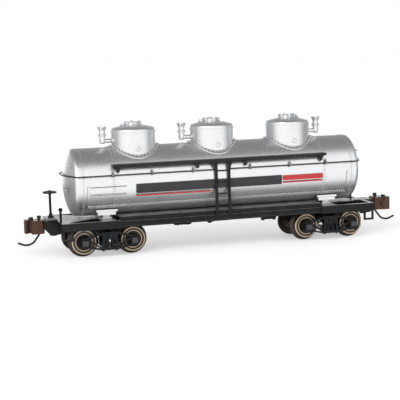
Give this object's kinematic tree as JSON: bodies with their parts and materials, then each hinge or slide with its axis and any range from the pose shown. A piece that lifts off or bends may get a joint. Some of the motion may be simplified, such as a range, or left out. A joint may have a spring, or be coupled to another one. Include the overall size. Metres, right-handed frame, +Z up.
{
  "type": "model tank wagon",
  "caption": "Small-scale model railway tank wagon: riveted silver tank with domes on a black frame, swivelling bogies, rolling wheelsets and sprung knuckle couplers.",
  "frame": {"origin": "centre of the wagon in plan, at the lowest point of the wheel flanges", "axes": "+X along the wagon towards the end without the brake wheel, +Y to the rear side, +Z up"},
  "size_m": [0.0874, 0.0158, 0.0281],
  "materials": {
    "silver_body": "satin silver paint over moulded plastic",
    "black_frame": "satin black moulded plastic",
    "bogie_plastic": "matt black moulded plastic",
    "rail_wire": "dark painted wire",
    "coupler_brown": "red-brown moulded plastic",
    "black_steel": "blackened steel",
    "wheel_metal": "turned and browned metal",
    "axle_plastic": "dark moulded plastic",
    "spring_bronze": "phosphor bronze strip",
    "screw_steel": "blackened steel screw",
    "ballast_steel": "plain steel bar"
  },
  "bodies": {
    "wagon": {"air_reservoir": "black_frame", "ballast_weight": "ballast_steel", "bogie_screws": "screw_steel", "brake_cylinder": "black_frame", "brake_levers": "black_frame", "brake_platform": "black_frame", "brake_staff": "black_frame", "brake_wheel": "black_frame", "centring_springs_left": "spring_bronze", "centring_springs_right": "spring_bronze", "dome_centre": "silver_body", "dome_left": "silver_body", "dome_right": "silver_body", "end_posts": "black_frame", "handrail_left": "rail_wire", "handrail_posts": "rail_wire", "handrail_right": "rail_wire", "hatch_centre": "silver_body", "hatch_left": "silver_body", "hatch_right": "silver_body", "ladder_front": "black_frame", "ladder_rear": "black_frame", "pocket_lid_left": "black_frame", "pocket_lid_right": "black_frame", "pocket_screws": "screw_steel", "safety_valve_centre": "silver_body", "safety_valve_left": "silver_body", "safety_valve_right": "silver_body", "stirrup_steps": "black_frame", "tank_barrel": "silver_body", "tank_head_left": "silver_body", "tank_head_right": "silver_body", "tank_saddle_left": "silver_body", "tank_saddle_right": "silver_body", "tank_screws": "screw_steel", "underframe": "black_frame", "walkway_front": "black_frame", "walkway_rear": "black_frame"},
    "left_bogie": {"bogie_frame_left": "bogie_plastic"},
    "right_bogie": {"bogie_frame_right": "bogie_plastic"},
    "wheelset_1": {"axle_1": "axle_plastic", "wheel_1_front": "wheel_metal", "wheel_1_rear": "wheel_metal"},
    "wheelset_2": {"axle_2": "axle_plastic", "wheel_2_front": "wheel_metal", "wheel_2_rear": "wheel_metal"},
    "wheelset_3": {"axle_3": "axle_plastic", "wheel_3_front": "wheel_metal", "wheel_3_rear": "wheel_metal"},
    "wheelset_4": {"axle_4": "axle_plastic", "wheel_4_front": "wheel_metal", "wheel_4_rear": "wheel_metal"},
    "left_coupler": {"coupler_left": "coupler_brown", "knuckle_pin_left": "black_steel"},
    "right_coupler": {"coupler_right": "coupler_brown", "knuckle_pin_right": "black_steel"},
    "left_knuckle": {"knuckle_left": "coupler_brown", "trip_pin_left": "black_steel"},
    "right_knuckle": {"knuckle_right": "coupler_brown", "trip_pin_right": "black_steel"}
  },
  "joints": [
    {"name": "left_bogie_swivel", "type": "hinge", "parent": "wagon", "child": "left_bogie", "pos_m": [-0.02506, 0, 0.0052], "axis": [0, 0, 1], "range_deg": [-10, 10]},
    {"name": "right_bogie_swivel", "type": "hinge", "parent": "wagon", "child": "right_bogie", "pos_m": [0.02506, 0, 0.0052], "axis": [0, 0, 1], "range_deg": [-10, 10]},
    {"name": "wheelset_1_roll", "type": "hinge", "parent": "left_bogie", "child": "wheelset_1", "pos_m": [-0.03037, 0, 0.0033], "axis": [0, 1, 0], "continuous": true},
    {"name": "wheelset_2_roll", "type": "hinge", "parent": "left_bogie", "child": "wheelset_2", "pos_m": [-0.01974, 0, 0.0033], "axis": [0, 1, 0], "continuous": true},
    {"name": "wheelset_3_roll", "type": "hinge", "parent": "right_bogie", "child": "wheelset_3", "pos_m": [0.01974, 0, 0.0033], "axis": [0, 1, 0], "continuous": true},
    {"name": "wheelset_4_roll", "type": "hinge", "parent": "right_bogie", "child": "wheelset_4", "pos_m": [0.03037, 0, 0.0033], "axis": [0, 1, 0], "continuous": true},
    {"name": "left_coupler_swing", "type": "hinge", "parent": "wagon", "child": "left_coupler", "pos_m": [-0.0359, 0, 0.00655], "axis": [0, 0, 1], "range_deg": [-8, 8], "stiffness_Nm_per_rad": 0.000002},
    {"name": "left_knuckle_open", "type": "hinge", "parent": "left_coupler", "child": "left_knuckle", "pos_m": [-0.0405, 0.001, 0.00655], "axis": [0, 0, -1], "range_deg": [0, 25], "stiffness_Nm_per_rad": 0.000002, "springref_deg": -11.46},
    {"name": "right_coupler_swing", "type": "hinge", "parent": "wagon", "child": "right_coupler", "pos_m": [0.0359, 0, 0.00655], "axis": [0, 0, 1], "range_deg": [-8, 8], "stiffness_Nm_per_rad": 0.000002},
    {"name": "right_knuckle_open", "type": "hinge", "parent": "right_coupler", "child": "right_knuckle", "pos_m": [0.0405, -0.001, 0.00655], "axis": [0, 0, -1], "range_deg": [0, 25], "stiffness_Nm_per_rad": 0.000002, "springref_deg": -11.46}
  ]
}
